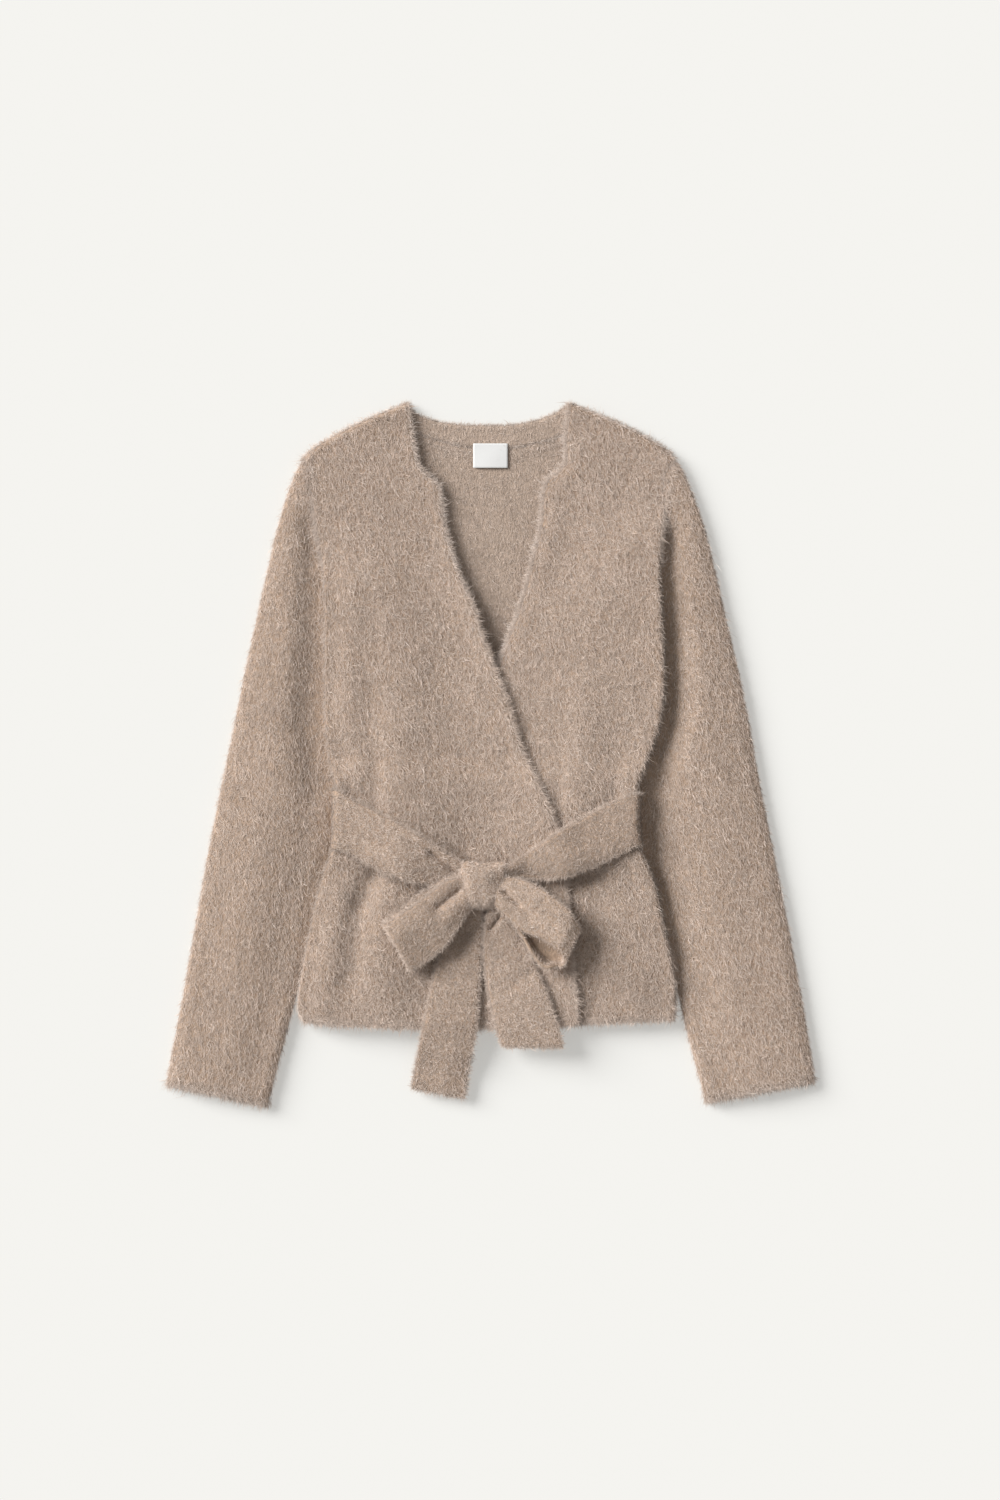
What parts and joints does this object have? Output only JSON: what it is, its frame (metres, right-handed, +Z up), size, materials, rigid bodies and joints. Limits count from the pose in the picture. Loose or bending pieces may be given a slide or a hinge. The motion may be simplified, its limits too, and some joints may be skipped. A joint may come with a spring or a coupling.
{
  "type": "wrap cardigan",
  "caption": "Brushed-knit wrap cardigan with long sleeves, deep V neck, blank neck label and a wide belt tied in a bow, laid flat on its back, front up.",
  "frame": {"origin": "on the surface that the garment lies on, under the middle of its outline seen from above", "axes": "+X towards the wearer's left side, +Y along the back from the hem to the neck, +Z up off the surface, out of the garment's front"},
  "size_m": [0.647, 0.6986, 0.0411],
  "materials": {
    "brushed_knit": "soft brushed mohair-like knit, taupe",
    "belt_knit": "the same brushed knit, as a flat belt",
    "woven_label": "blank off-white woven tape"
  },
  "bodies": {
    "root": {"back": "brushed_knit", "neck_band": "brushed_knit", "neck_label": "woven_label", "front_left": "brushed_knit", "front_right": "brushed_knit", "sleeve_right": "brushed_knit", "sleeve_left": "brushed_knit", "belt_knot": "belt_knit", "belt_back": "belt_knit", "belt_right": "belt_knit", "belt_left": "belt_knit", "belt_tail_right": "belt_knit", "belt_tail_left": "belt_knit", "belt_loop_right": "belt_knit", "belt_loop_left": "belt_knit"}
  },
  "joints": []
}
